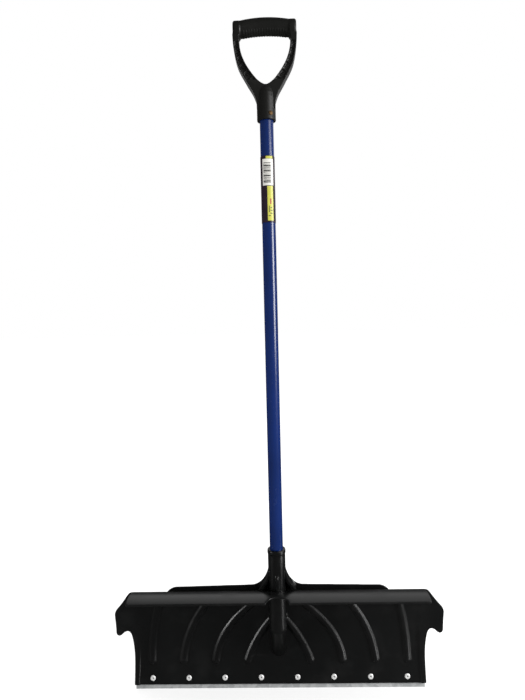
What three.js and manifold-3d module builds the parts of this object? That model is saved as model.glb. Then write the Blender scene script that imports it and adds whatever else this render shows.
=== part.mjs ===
// Snow shovel with a curled pusher blade, a straight tubular handle and a D-grip.
// Millimetres. X runs across the blade, -Y is the side the blade's hollow faces, Z runs up the handle.
// The pieces are drawn with the handle's axis at X = Y = 0 and the underside of the wear strip at Z = 0.
// The whole is then moved along Y, so that the origin is the middle of the strip's underside.
import * as THREE from "three";
import { mergeVertices } from "three/addons/utils/BufferGeometryUtils.js";
import Module from "manifold-3d";

const wasm = await Module();
wasm.setup();

// ---------------------------------------------------------------- driving dimensions
const gap = 0.3; // clearance between neighbouring pieces

// handle tube
const tubeR = 12.7;
const tubeWall = 1.2;
const tubeBottom = 165.3;
const tubeTop = 1149.7;

// blade sheet, seen from the side: a tight curl over a long shallow curve
const sheet = 3.4; // wall thickness
const curl = { y: -35, z: 152, r: 77, end: 108.5 }; // outer radius, end angle at the lip
const belly = { y: -249.4, z: 90.5, r: 300 }; // outer radius
const turn = 16; // angle at which the curl meets the belly
const plasticBottom = 8; // lower edge of the plastic above the strip's edge

// blade outline, seen from the front (right half, bottom to top)
const halfBottom = 294;
const earTip = { x: 326.5, z: 107.5 };
const earWide = { x: 331.5, z: 152 };
const shoulder = { x: 296, z: 207.5 };
const corner = { x: 281, z: 219.8 }; // where the shoulder meets the straight ends of the lip
const apex = curl.z + curl.r;

// raised beads on the hollow side: x at the foot, linear and square lean, top height
const beadR = 8.5; // radius of the rolled bead
const beadDepth = 4; // depth of its centre under the hollow face
const beadFoot = 45;
const beads = [
  { x: 66, lean: 0.3, bow: 0.0025, top: 150 },
  { x: 129, lean: 0.05, bow: 0.004, top: 192 },
  { x: 195, lean: 0.05, bow: 0.0025, top: 192 },
  { x: 258, lean: -0.024, bow: 0.0012, top: 192 },
];
const beadStop = 12; // how near the middle a bead may run
const rimWidth = 9; // thickened rim down each side
const rimRise = 3;
const rimTop = 112;

// socket, spine and rear wing, all moulded with the blade
const socketR = 16.8;
const socketTop = 303.5;
const spineBend = 150; // height where the spine starts to slope back
const spineSlope = 36.5; // degrees from vertical
const spineLength = 150; // of the sloping bar, before it is trimmed by the sheet
const notch = { r: 22, y: -64 }; // arch cut in the lip in front of the spine
const wing = { half: 216, front: 10.4, back: 13.6, bottom: 200, top: 225.2, taper: 16 };
const flareTop = 262;
const flareHalf = 48;
const wingOverlap = 1.5; // how far the wing's foot runs into the sheet
const middleRib = { half: 2.5, front: -20.5, back: -10, bottom: 225, top: 256 };
const leaningRib = [[13, 262], [16.5, 262], [22, 243], [36, 226], [31, 222], [18, 240]];
const leaningRibFront = -9;

// wear strip and its blind rivets
const stripThick = 1.5;
const stripHeight = 38;
const stripHalf = 292;
const rivetCount = 8;
const rivetPitch = 73.5;
const rivetZ = 21;
const rivetHole = 2.7;

// D-grip
const collarR = 17.3;
const collarBottom = 1109;
const barR = 15;
const barArch = 5.5; // rise of the crossbar at its middle
const barHalf = 52;
const barEndZ = 1273.5;
const fingerRibs = { each: 8, pitch: 4.8, rise: 0.7, width: 1.6 };
const armDepth = 24;
const webRecess = 5; // depth of the ribbed pockets on the arms

// screws
const screwHeadR = 4.2;
const screwShankR = 1.9;
const screwSeat = 1.2; // depth of the recess under a head
const screwLength = 9;
const gripScrew = { z: 1119, turn: 28 };
const socketScrew = { z: 284, turn: 180 };

// middle of the strip's underside, behind the handle's axis
const footY =
  belly.y + Math.sqrt((belly.r + gap + stripThick / 2) ** 2 - belly.z ** 2);

// label wrapped round the tube
const label = { bottom: 923, top: 1044, inner: tubeR + gap, thick: 0.25, seam: 8 };
const sticker = { bottom: 990, top: 1038, thick: 0.2, from: -42, to: 46 }; // degrees from the front

// ---------------------------------------------------------------- helpers
const rad = THREE.MathUtils.degToRad;
const X = new THREE.Vector3(1, 0, 0);
const Y = new THREE.Vector3(0, 1, 0);
const Z = new THREE.Vector3(0, 0, 1);

/* A closed three.js geometry as a solid that can be joined and cut. */
function solid(geometry) {
  let g = geometry.clone();
  g.deleteAttribute("normal");
  g.deleteAttribute("uv");
  g = mergeVertices(g, 1e-4);
  const made = new wasm.Manifold(
    new wasm.Mesh({
      numProp: 3,
      vertProperties: new Float32Array(g.attributes.position.array),
      triVerts: new Uint32Array(g.index.array),
    }),
  );
  return made;
}

/* A solid as a three.js geometry. */
function geometryOf(made) {
  const mesh = made.getMesh();
  const step = mesh.numProp;
  const position = new Float32Array(mesh.numVert * 3);
  for (let i = 0; i < mesh.numVert; i++) {
    position.set(mesh.vertProperties.subarray(i * step, i * step + 3), i * 3);
  }
  const g = new THREE.BufferGeometry();
  g.setAttribute("position", new THREE.BufferAttribute(position, 3));
  g.setIndex(new THREE.BufferAttribute(new Uint32Array(mesh.triVerts), 1));
  return g;
}

/* An outline drawn in Y and Z, extruded along X from one side to the other. */
function sideExtrusion(shape, from, to, segments = 5) {
  const g = new THREE.ExtrudeGeometry(shape, {
    depth: to - from,
    bevelEnabled: false,
    curveSegments: segments,
  });
  g.translate(0, 0, from);
  return g.applyMatrix4(new THREE.Matrix4().makeBasis(Y, Z, X));
}

/* An outline drawn in X and Z, extruded along Y from front to back. */
function frontExtrusion(shape, front, back, segments = 12) {
  const g = new THREE.ExtrudeGeometry(shape, {
    depth: back - front,
    bevelEnabled: false,
    curveSegments: segments,
  });
  g.translate(0, 0, -back);
  return g.applyMatrix4(new THREE.Matrix4().makeBasis(X, Z, Y.clone().negate()));
}

/* A box given by its lowest and highest corners. */
function block(x0, y0, z0, x1, y1, z1) {
  const g = new THREE.BoxGeometry(x1 - x0, y1 - y0, z1 - z0);
  return g.translate((x0 + x1) / 2, (y0 + y1) / 2, (z0 + z1) / 2);
}

/* A profile of [radius, height] pairs turned about Z. */
function turned(profile, segments = 36) {
  let area = 0;
  profile.forEach(([r, h], i) => {
    const [r2, h2] = profile[(i + 1) % profile.length];
    area += r * h2 - r2 * h;
  });
  const ordered = area > 0 ? profile : [...profile].reverse();
  const points = ordered.map(([r, h]) => new THREE.Vector2(r, h));
  points.push(points[0].clone());
  const g = new THREE.LatheGeometry(points, segments);
  return g.rotateX(Math.PI / 2);
}

/* A round rod along Z between two heights. */
function rod(radius, low, high, segments) {
  return turned([[0, low], [radius, low], [radius, high], [0, high]], segments);
}

/* Points of a polygon as a shape. */
function polygon(points) {
  return new THREE.Shape(points.map(([a, b]) => new THREE.Vector2(a, b)));
}

/* A round bar swept along a list of points. */
function swept(points, radius, steps, sides = 5) {
  const circle = new THREE.Shape();
  circle.absarc(0, 0, radius, 0, 2 * Math.PI, false);
  return new THREE.ExtrudeGeometry(circle, {
    steps,
    bevelEnabled: false,
    curveSegments: sides,
    extrudePath: new THREE.CatmullRomCurve3(points),
  });
}

function ball(centre, radius, segments = 10) {
  const g = new THREE.SphereGeometry(radius, segments, Math.ceil(segments * 0.6));
  return g.translate(...centre.toArray());
}

const group = new THREE.Group();
const plastic = { color: 0x1b1c1e, roughness: 0.55, metalness: 0 };
const steel = { color: 0xb4b6b5, roughness: 0.38, metalness: 1 };

function add(name, geometry, finish) {
  const mesh = new THREE.Mesh(geometry, new THREE.MeshStandardMaterial(finish));
  mesh.name = name;
  group.add(mesh);
  return mesh;
}

// ---------------------------------------------------------------- blade
/* Point of the sheet's outer face, moved towards the hollow by an inset. */
function beyond(arc, degrees, inset) {
  const r = arc.r - inset;
  return [arc.y + r * Math.cos(rad(degrees)), arc.z + r * Math.sin(rad(degrees))];
}

/* Angle on the belly of a height above the floor, at a given inset. */
function bellyAngle(z, inset) {
  return THREE.MathUtils.radToDeg(Math.asin((z - belly.z) / (belly.r - inset)));
}

/* A band of the blade's side profile between two insets, from a height up to the lip. */
function profileBand(outer, inner, fromZ) {
  const shape = new THREE.Shape();
  const start = bellyAngle(fromZ, outer);
  const startIn = bellyAngle(fromZ, inner);
  shape.absarc(belly.y, belly.z, belly.r - outer, rad(start), rad(turn), false);
  shape.absarc(curl.y, curl.z, curl.r - outer, rad(turn), rad(curl.end), false);
  shape.absarc(curl.y, curl.z, curl.r - inner, rad(curl.end), rad(turn), true);
  shape.absarc(belly.y, belly.z, belly.r - inner, rad(turn), rad(startIn), true);
  return shape;
}

/* Everything on the hollow side of a surface inside the sheet, at an inset from its outer face. */
function hollowSide(inset = 0) {
  const shape = new THREE.Shape();
  shape.absarc(belly.y, belly.z, belly.r - inset, rad(bellyAngle(-20, inset)), rad(turn), false);
  shape.absarc(curl.y, curl.z, curl.r - inset, rad(turn), rad(150), false);
  shape.lineTo(-160, -20);
  return solid(sideExtrusion(shape, -400, 400, 5));
}

/* The blade's outline seen from the front, both halves. */
function bladeOutline() {
  const right = new THREE.Shape();
  right.moveTo(0, -20);
  right.lineTo(halfBottom, -20);
  right.lineTo(halfBottom, 62);
  right.quadraticCurveTo(halfBottom + 1, 90, 299, 107);
  right.quadraticCurveTo(302, 116.5, 307.5, 116.5);
  right.quadraticCurveTo(313, 116, 317, 111.5);
  right.quadraticCurveTo(322, 106, earTip.x, earTip.z);
  right.quadraticCurveTo(331, 109, 331, 116);
  right.lineTo(earWide.x, earWide.z);
  right.quadraticCurveTo(331.5, 159, 326, 166);
  right.quadraticCurveTo(315.5, 178, 305, 194);
  right.quadraticCurveTo(300, 202, shoulder.x, shoulder.z);
  right.quadraticCurveTo(290, 217, corner.x, corner.z);
  right.lineTo(corner.x, apex + 5);
  right.lineTo(0, apex + 5);
  const one = solid(frontExtrusion(right, -90, 90, 2));
  return one.add(one.mirror([1, 0, 0]));
}

/* Centre line of a bead, which follows the sheet at a fixed depth. */
function beadLine({ x, lean, bow, top }, side) {
  const inset = sheet - beadDepth;
  const points = [];
  const rows = 9;
  for (let i = 0; i <= rows; i++) {
    const z = beadFoot + beadR + ((top - beadFoot - beadR) * i) / rows;
    const t = z - beadFoot;
    const across = Math.max(x - lean * t - bow * t * t, beadStop);
    const onBelly = z < belly.z + (belly.r - inset) * Math.sin(rad(turn));
    const arc = onBelly ? belly : curl;
    const angle = Math.asin((z - arc.z) / (arc.r - inset));
    points.push(new THREE.Vector3(side * across, arc.y + (arc.r - inset) * Math.cos(angle), z));
  }
  return points;
}

function bead(points, radius) {
  const last = points[points.length - 1];
  let made = solid(swept(points, radius, 7));
  made = made.add(solid(ball(points[0], radius)));
  return made.add(solid(ball(last, radius)));
}

/* A sloping round bar that carries the spine back into the sheet. */
function slopingBar(radius, start, length) {
  const g = new THREE.CylinderGeometry(radius, radius, length, 24);
  g.rotateX(Math.PI / 2);
  g.translate(0, 0, -length / 2 - start);
  g.rotateX(rad(spineSlope));
  return g.translate(0, 0, spineBend);
}

/* Heights and depths along the spine's sloping centre line. */
function onSlope(t) {
  return [t * Math.sin(rad(spineSlope)), spineBend - t * Math.cos(rad(spineSlope))];
}

function makeBlade() {
  const inside = hollowSide();
  let made = solid(sideExtrusion(profileBand(0, sheet, plasticBottom), -340, 340));
  made = made.intersect(bladeOutline());

  // arch in the lip in front of the spine
  const arch = rod(notch.r, 150, 240, 32).translate(0, notch.y, 0);
  made = made.subtract(solid(arch));

  // thickened rim down each lower side
  for (const side of [-1, 1]) {
    const from = side < 0 ? -halfBottom : halfBottom - rimWidth;
    const band = profileBand(sheet - 1, sheet + rimRise, plasticBottom);
    const rim = sideExtrusion(band, from, from + rimWidth);
    const lower = solid(rim).intersect(solid(block(-340, -90, 0, 340, 90, rimTop)));
    made = made.add(lower);
  }

  // beads stand proud of the hollow side
  const lines = beads.flatMap((b) => [beadLine(b, -1), beadLine(b, 1)]);
  for (const line of lines) {
    made = made.add(bead(line, beadR).intersect(inside));
  }

  // spine: a half-round casing round the tube that slopes back into the sheet
  const [slopeY, slopeZ] = onSlope(spineLength);
  const cheeks = polygon([[0, 222], [0, spineBend], [slopeY, slopeZ], [slopeY, 222]]);
  let spine = solid(turned([[0, spineBend], [socketR, spineBend], [socketR, 240], [0, 240]]));
  spine = spine.add(solid(slopingBar(socketR, 0, spineLength)));
  spine = spine.add(solid(ball(new THREE.Vector3(0, 0, spineBend), socketR, 24)));
  spine = spine.add(solid(sideExtrusion(cheeks, -socketR, socketR)));
  made = made.add(spine.intersect(inside));

  // socket above the blade
  made = made.add(
    solid(
      turned([
        [0, 200],
        [socketR, 200],
        [socketR, socketTop - 8],
        [socketR + 0.6, socketTop - 7],
        [socketR + 0.6, socketTop - 1],
        [socketR - 0.2, socketTop],
        [0, socketTop],
      ]),
    ),
  );

  // rear wing with the flare that carries it up the socket
  const back = new THREE.Shape();
  back.moveTo(-wing.half, wing.bottom);
  back.lineTo(wing.half, wing.bottom);
  back.lineTo(wing.half, wing.top - 10);
  back.quadraticCurveTo(wing.half - 6, wing.top - 3, wing.half - wing.taper, wing.top - 1);
  back.lineTo(flareHalf, wing.top + 2);
  back.quadraticCurveTo(24, wing.top + 6, socketR, flareTop);
  back.lineTo(-socketR, flareTop);
  back.quadraticCurveTo(-24, wing.top + 6, -flareHalf, wing.top + 2);
  back.lineTo(-wing.half + wing.taper, wing.top - 1);
  back.quadraticCurveTo(-wing.half + 6, wing.top - 3, -wing.half, wing.top - 10);
  const plate = solid(frontExtrusion(back, wing.front, wing.back));
  const hollow = hollowSide(wingOverlap);
  made = made.add(plate.subtract(hollow));

  // ribs in front of the flare: one up the middle, two leaning out
  const { half, front, back: ribBack, bottom, top } = middleRib;
  made = made.add(solid(block(-half, front, bottom, half, ribBack, top)));
  for (const side of [-1, 1]) {
    const rib = polygon(leaningRib.map(([a, b]) => [side * a, b]));
    made = made.add(solid(frontExtrusion(rib, leaningRibFront, wing.back)).subtract(hollow));
  }

  // hollow backs: grooves behind the beads and a cored-out spine
  for (const line of lines) {
    made = made.subtract(bead(line, beadR - sheet).subtract(solid(block(-16, -80, 0, 16, 80, 300))));
  }
  const coreR = socketR - sheet;
  const [coreY, coreZ] = onSlope(140);
  const core = polygon([[socketR, 196], [socketR, 134], [coreY, coreZ], [coreY, 196]]);
  made = made.subtract(solid(slopingBar(coreR, 6, spineLength)));
  made = made.subtract(solid(sideExtrusion(core, -coreR, coreR)));

  // bore for the handle, screw hole and rivet holes
  const boreR = tubeR + gap;
  made = made.subtract(solid(rod(boreR, tubeBottom - gap, socketTop + 5, 48)));
  made = made.subtract(screwHole(socketScrew, socketR));
  rivetPlaces().forEach((place) => {
    made = made.subtract(solid(place(rod(rivetHole, -20, 20, 14))));
  });
  return geometryOf(made);
}

// ---------------------------------------------------------------- screws
/* Puts a piece drawn about Z, with its head towards +Z, on the round of a tube. */
function radial(geometry, { z, turn: angle }, radius) {
  geometry.rotateX(Math.PI / 2);
  geometry.translate(0, -radius, 0);
  geometry.rotateZ(rad(angle));
  return geometry.translate(0, 0, z);
}

/* Clearance hole through the wall with a shallow seat for the head. */
function screwHole(screw, radius) {
  const hole = screwShankR + gap;
  const seat = screwHeadR + gap;
  const profile = [[0, -8], [hole, -8], [hole, -screwSeat], [seat, -screwSeat], [seat, 4], [0, 4]];
  return solid(radial(turned(profile, 24), screw, radius));
}

function makeScrew(screw, radius) {
  const base = gap - screwSeat;
  const head = [
    [0, -screwLength],
    [0.8, -screwLength],
    [screwShankR, 2 - screwLength],
    [screwShankR, base],
    [screwHeadR, base],
    [screwHeadR, base + 1.2],
    [3.4, base + 2.2],
    [1.8, base + 2.6],
    [0, base + 2.7],
  ];
  let made = solid(turned(head, 24));
  for (const angle of [0, Math.PI / 2]) {
    const slot = new THREE.BoxGeometry(4.2, 0.9, 2.4);
    slot.translate(0, 0, base + 2.6);
    slot.rotateZ(angle);
    made = made.subtract(solid(slot));
  }
  return radial(geometryOf(made), screw, radius);
}

// ---------------------------------------------------------------- wear strip and rivets
/* One function per rivet that carries a piece drawn about Z to its place, front towards +Z. */
function rivetPlaces() {
  const angle = bellyAngle(rivetZ, sheet);
  const [y, z] = beyond(belly, angle, sheet);
  const front = new THREE.Vector3(0, -Math.cos(rad(angle)), -Math.sin(rad(angle)));
  const basis = new THREE.Matrix4().makeBasis(X, new THREE.Vector3().crossVectors(front, X), front);
  return Array.from({ length: rivetCount }, (_, i) => (geometry) => {
    geometry.applyMatrix4(basis);
    return geometry.translate((i - (rivetCount - 1) / 2) * rivetPitch, y, z);
  });
}

function makeStrip() {
  const shape = new THREE.Shape();
  const outer = belly.r + gap + stripThick;
  const inner = belly.r + gap;
  const at = (r, z) => Math.asin((z - belly.z) / r);
  shape.absarc(belly.y, belly.z, outer, at(outer, 0), at(outer, stripHeight), false);
  shape.absarc(belly.y, belly.z, inner, at(inner, stripHeight), at(inner, 0), true);
  let made = solid(sideExtrusion(shape, -stripHalf, stripHalf, 6));
  rivetPlaces().forEach((place) => {
    made = made.subtract(solid(place(rod(rivetHole, -20, 20, 14))));
  });
  return geometryOf(made);
}

function rivetBody() {
  const back = -(sheet + gap + stripThick + gap);
  return turned(
    [
      [1.4, 1.9],
      [1.4, back - 2.8],
      [3.2, back - 2.8],
      [4, back - 1.7],
      [3.6, back],
      [2.4, back],
      [2.4, gap],
      [5.4, gap],
      [5.3, 0.9],
      [4.4, 1.6],
      [2.6, 2],
    ],
    14,
  );
}

function rivetPin() {
  const back = -(sheet + gap + stripThick + gap) - 2.8;
  return turned(
    [
      [0, 1],
      [1.1, 0.8],
      [1.1, back - gap],
      [2.3, back - gap],
      [2.3, back - 1.4],
      [1.4, back - 2.2],
      [0, back - 2.4],
    ],
    10,
  );
}

// ---------------------------------------------------------------- D-grip
const armOuter = [[58.65, 1262], [57, 1238], [50.5, 1209], [36, 1181], [23.3, 1159], [17.3, 1143]];
const armInner = [[44.5, 1272], [46.9, 1256], [43.9, 1231], [35.3, 1209], [20.75, 1187.5], [9.5, 1176.5]];
const openingBottom = 1172.5;

function splinePoints(points) {
  return points.map(([a, b]) => new THREE.Vector2(a, b));
}

function mirrored(points) {
  return [...points].reverse().map(([a, b]) => [-a, b]);
}

/* The D's outline with softened edges. */
function gripFrame() {
  const shape = new THREE.Shape();
  shape.moveTo(-56, 1278);
  shape.lineTo(56, 1278);
  shape.lineTo(...armOuter[0]);
  shape.splineThru(splinePoints(armOuter.slice(1)));
  shape.lineTo(collarR, 1130);
  shape.lineTo(-collarR, 1130);
  shape.lineTo(...mirrored(armOuter)[0]);
  shape.splineThru(splinePoints(mirrored(armOuter).slice(1)));
  const bevel = 2.5;
  const g = new THREE.ExtrudeGeometry(shape, {
    depth: armDepth - 2 * bevel,
    bevelEnabled: true,
    bevelSize: bevel,
    bevelOffset: -bevel,
    bevelThickness: bevel,
    bevelSegments: 2,
    curveSegments: 3,
  });
  g.translate(0, 0, -armDepth / 2 + bevel);
  return g.applyMatrix4(new THREE.Matrix4().makeBasis(X, Z, Y.clone().negate()));
}

/* The opening for the fingers. */
function gripOpening() {
  const shape = new THREE.Shape();
  const round = [...armInner, [0, openingBottom], ...mirrored(armInner)];
  shape.moveTo(...round[0]);
  shape.splineThru(splinePoints(round.slice(1)));
  return frontExtrusion(shape, -armDepth, armDepth, 3);
}

/* Height of the crossbar's centre line, from -1 at one end to 1 at the other. */
function barHeight(u) {
  return barEndZ + barArch * (1 - u * u);
}

/* Pockets along one arm, front and back, with thin cross ribs left between them. */
function armPockets(side) {
  const pockets = [];
  const wall = 3.2;
  const rows = [1238, 1229, 1220, 1211, 1202, 1193.5, 1185];
  const outerAt = (z) => between(armOuter, z) - wall;
  const innerAt = (z) => between(armInner, z) + wall;
  for (let i = 0; i + 1 < rows.length; i++) {
    const top = rows[i] - 0.9;
    const low = rows[i + 1] + 0.9;
    const shape = polygon([
      [side * innerAt(top), top],
      [side * outerAt(top), top],
      [side * outerAt(low), low],
      [side * innerAt(low), low],
    ]);
    pockets.push(solid(frontExtrusion(shape, -armDepth / 2 - 1, -armDepth / 2 + webRecess)));
    pockets.push(solid(frontExtrusion(shape, armDepth / 2 - webRecess, armDepth / 2 + 1)));
  }
  return pockets;
}

/* Half width of an arm outline at a height. */
function between(points, z) {
  for (let i = 0; i + 1 < points.length; i++) {
    const [a, za] = points[i];
    const [b, zb] = points[i + 1];
    if (z <= za && z >= zb) {
      return b + ((a - b) * (z - zb)) / (za - zb);
    }
  }
  return points[points.length - 1][0];
}

function makeGrip() {
  let made = solid(gripFrame()).subtract(solid(gripOpening()));
  for (const side of [-1, 1]) {
    armPockets(side).forEach((pocket) => {
      made = made.subtract(pocket);
    });
    // cheek at the end of the crossbar
    const cheek = turned([[0, 45], [15.6, 45], [16.5, 46], [16.5, 55], [15, 57.8], [0, 58.4]], 32);
    cheek.rotateY((side * Math.PI) / 2);
    cheek.translate(0, 0, barEndZ);
    made = made.add(solid(cheek));
  }

  // crossbar, arched upwards, with finger ribs under it
  const bar = [];
  for (let i = 0; i <= 6; i++) {
    const u = -1 + i / 3;
    bar.push(new THREE.Vector3(u * barHalf, 0, barHeight(u)));
  }
  made = made.add(solid(swept(bar, barR, 10, 14)));
  const { each, pitch, rise, width } = fingerRibs;
  for (let i = -each; i <= each; i++) {
    const height = barHeight((i * pitch) / barHalf);
    const rib = new THREE.CylinderGeometry(barR + rise, barR + rise, width, 28);
    rib.rotateZ(Math.PI / 2);
    rib.translate(i * pitch, 0, height);
    const under = block(-60, -12, 1200, 60, 12, height - 8);
    made = made.add(solid(rib).intersect(solid(under)));
  }

  // collar that takes the tube, drawn in to meet the arms
  made = made.add(
    solid(
      turned([
        [0, collarBottom],
        [collarR - 0.6, collarBottom],
        [collarR, collarBottom + 1],
        [collarR, 1150],
        [16.4, 1159],
        [13, 1168],
        [8, openingBottom],
        [0, openingBottom],
      ]),
    ),
  );
  const boreR = tubeR + gap;
  made = made.subtract(solid(rod(boreR, collarBottom - 5, tubeTop + gap, 48)));
  made = made.subtract(screwHole(gripScrew, collarR));
  return geometryOf(made);
}

// ---------------------------------------------------------------- tube and labels
function makeTube() {
  const inner = tubeR - tubeWall;
  const wall = [[inner, tubeBottom], [tubeR, tubeBottom], [tubeR, tubeTop], [inner, tubeTop]];
  let made = solid(turned(wall, 48));
  made = made.subtract(screwHole(gripScrew, collarR));
  made = made.subtract(screwHole(socketScrew, socketR));
  return geometryOf(made);
}

/* A thin curved sheet round the tube, between two angles measured from the front. */
function wrap(inner, thick, from, to, bottom, top) {
  const shape = new THREE.Shape();
  shape.absarc(0, 0, inner + thick, rad(from - 90), rad(to - 90), false);
  shape.absarc(0, 0, inner, rad(to - 90), rad(from - 90), true);
  const g = new THREE.ExtrudeGeometry(shape, {
    depth: top - bottom,
    bevelEnabled: false,
    curveSegments: 14,
  });
  return g.translate(0, 0, bottom);
}

// ---------------------------------------------------------------- assembly
add("blade", makeBlade(), plastic);
add("wear_strip", makeStrip(), steel);
rivetPlaces().forEach((place, i) => {
  add("rivet_" + (i + 1), place(rivetBody()), { color: 0xd6d7d5, roughness: 0.4, metalness: 1 });
  add("rivet_pin_" + (i + 1), place(rivetPin()), { color: 0x8b8d8e, roughness: 0.5, metalness: 1 });
});
add("handle_tube", makeTube(), { color: 0x1c2f6e, roughness: 0.3, metalness: 0.2 });
add("d_grip", makeGrip(), plastic);
add("grip_screw", makeScrew(gripScrew, collarR), { color: 0xa98d55, roughness: 0.4, metalness: 1 });
add("socket_screw", makeScrew(socketScrew, socketR), steel);
add(
  "product_label",
  wrap(label.inner, label.thick, -180 + label.seam, 180 - label.seam, label.bottom, label.top),
  { color: 0x23252b, roughness: 0.45, metalness: 0 },
);
add(
  "barcode_label",
  wrap(
    label.inner + label.thick + gap,
    sticker.thick,
    sticker.from,
    sticker.to,
    sticker.bottom,
    sticker.top,
  ),
  { color: 0xe9e8e2, roughness: 0.6, metalness: 0 },
);

group.children.forEach((mesh) => mesh.geometry.translate(0, -footY, 0));

export default group;
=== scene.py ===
# Snow pusher shovel: curled black blade, riveted wear strip, blue tube and D-grip.
# Drawn in millimetres about the handle's axis, then put into the frame by toFrame() or toMetres().
import bpy
import bmesh
import math
import numpy as np
from mathutils import Matrix, Vector, geometry


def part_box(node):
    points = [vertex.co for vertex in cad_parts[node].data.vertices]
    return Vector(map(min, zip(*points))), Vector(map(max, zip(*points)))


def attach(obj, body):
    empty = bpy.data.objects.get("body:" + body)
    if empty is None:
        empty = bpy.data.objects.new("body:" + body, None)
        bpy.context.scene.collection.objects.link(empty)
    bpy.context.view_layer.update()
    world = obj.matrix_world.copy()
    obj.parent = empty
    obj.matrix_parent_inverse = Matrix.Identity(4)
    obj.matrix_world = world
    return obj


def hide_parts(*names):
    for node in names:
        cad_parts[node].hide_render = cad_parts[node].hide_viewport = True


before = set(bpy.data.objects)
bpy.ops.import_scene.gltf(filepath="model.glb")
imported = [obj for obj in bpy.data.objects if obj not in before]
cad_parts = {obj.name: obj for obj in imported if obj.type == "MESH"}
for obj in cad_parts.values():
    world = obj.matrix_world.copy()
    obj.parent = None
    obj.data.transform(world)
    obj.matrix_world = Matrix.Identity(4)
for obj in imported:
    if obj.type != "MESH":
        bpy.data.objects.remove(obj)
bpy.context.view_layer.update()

scene = bpy.context.scene
tubeLow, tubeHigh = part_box("handle_tube")
handleY = (tubeLow.y + tubeHigh.y) / 2        # the handle's axis stands in front of the origin
milli = 0.001
farAway, tiny = 1e9, 1e-9


def toFrame(x, y, z):
    return Vector((x * milli, y * milli + handleY, z * milli))


def toMetres(bm):
    # takes a finished mesh from the drawing to the frame
    bmesh.ops.scale(bm, verts=bm.verts, vec=(milli, milli, milli))
    bmesh.ops.translate(bm, verts=bm.verts, vec=(0, handleY, 0))


# The camera stands a metre in front of the handle, a little above the middle of the shovel.
view = {
    "side": 0.0091,          # metres to the right of the handle
    "back": 1.0376,          # metres in front of the handle's axis
    "height": 0.7425,
    "down": 3.075,           # degrees
    "left": 1.475,
    "roll": 1.375,
    "lens": 28.29,
    "sensor": 36,
    "clip": (0.01, 50),
}


def makeCamera():
    data = bpy.data.cameras.new("studioCamera")
    data.sensor_width = view["sensor"]
    data.lens = view["lens"]
    data.clip_start, data.clip_end = view["clip"]
    camera = bpy.data.objects.new("studioCamera", data)
    scene.collection.objects.link(camera)
    down, left, roll = (math.radians(view[k]) for k in ("down", "left", "roll"))
    forward = Vector((
        -math.sin(left) * math.cos(down),
        math.cos(left) * math.cos(down),
        -math.sin(down),
    ))
    right = Vector((math.cos(left), math.sin(left), 0))
    up = right.cross(forward)
    turned = Matrix.Rotation(roll, 3, forward)
    right, up = turned @ right, turned @ up
    camera.matrix_world = Matrix((
        (right.x, up.x, -forward.x, view["side"]),
        (right.y, up.y, -forward.y, handleY - view["back"]),
        (right.z, up.z, -forward.z, view["height"]),
        (0, 0, 0, 1),
    ))
    scene.camera = camera


makeCamera()
print("camera placed")


# Finishes. Every one is procedural and made from the object's own coordinates.
class Wire:
    # one socket of a finish; arithmetic on it adds Math nodes
    def __init__(self, finish, socket):
        self.finish = finish
        self.socket = socket

    def worked(self, operation, first, second):
        return self.finish.node("ShaderNodeMath", {"operation": operation}, {0: first, 1: second})

    def __add__(self, other):
        return self.worked("ADD", self, other)

    def __radd__(self, other):
        return self.worked("ADD", other, self)

    def __sub__(self, other):
        return self.worked("SUBTRACT", self, other)

    def __rsub__(self, other):
        return self.worked("SUBTRACT", other, self)

    def __mul__(self, other):
        return self.worked("MULTIPLY", self, other)

    def __rmul__(self, other):
        return self.worked("MULTIPLY", other, self)

    def clipped(self):
        return self.finish.node("ShaderNodeClamp", {}, {0: self})


class Finish:
    # a procedural material built from named nodes
    def __init__(self, name):
        self.material = bpy.data.materials.new(name)
        self.material.use_nodes = True
        self.tree = self.material.node_tree
        self.tree.nodes.clear()
        self.place = self.node("ShaderNodeTexCoord", {}, {}, "Object")

    def node(self, kind, settings, inputs, output=0):
        made = self.tree.nodes.new(kind)
        for key, value in settings.items():
            setattr(made, key, value)
        for key, value in inputs.items():
            socket = made.inputs[key]
            if isinstance(value, Wire):
                self.tree.links.new(value.socket, socket)
            elif isinstance(value, tuple) and len(socket.default_value) == 4:
                socket.default_value = (*value, 1)
            else:
                socket.default_value = value
        return Wire(self, made.outputs[output])

    def stretched(self, scale, turn=(0, 0, 0)):
        inputs = {"Vector": self.place, "Scale": scale, "Rotation": turn}
        return self.node("ShaderNodeMapping", {}, inputs)

    def noise(self, scale, detail=3.0, rough=0.5, at=None):
        inputs = {"Vector": at or self.place, "Scale": scale, "Detail": detail, "Roughness": rough}
        return self.node("ShaderNodeTexNoise", {}, inputs)

    def cells(self, scale):
        # a different value in each cell of a Voronoi pattern
        colour = self.node("ShaderNodeTexVoronoi", {}, {"Vector": self.place, "Scale": scale}, "Color")
        return self.node("ShaderNodeSeparateColor", {}, {0: colour})

    def between(self, value, low, high):
        inputs = {"Value": value, "From Min": low, "From Max": high}
        return self.node("ShaderNodeMapRange", {"clamp": True}, inputs)

    def mixed(self, factor, first, second):
        return self.node("ShaderNodeMix", {"data_type": "RGBA"}, {0: factor, 6: first, 7: second}, 2)

    def edgeWear(self):
        return self.node("ShaderNodeNewGeometry", {}, {}, "Pointiness")

    def bump(self, height, distance, strength):
        inputs = {"Height": height, "Distance": distance, "Strength": strength}
        return self.node("ShaderNodeBump", {}, inputs)

    def shade(self, settings):
        surface = self.node("ShaderNodeBsdfPrincipled", {}, settings)
        out = self.tree.nodes.new("ShaderNodeOutputMaterial")
        self.tree.links.new(surface.socket, out.inputs["Surface"])
        return self.material


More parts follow.
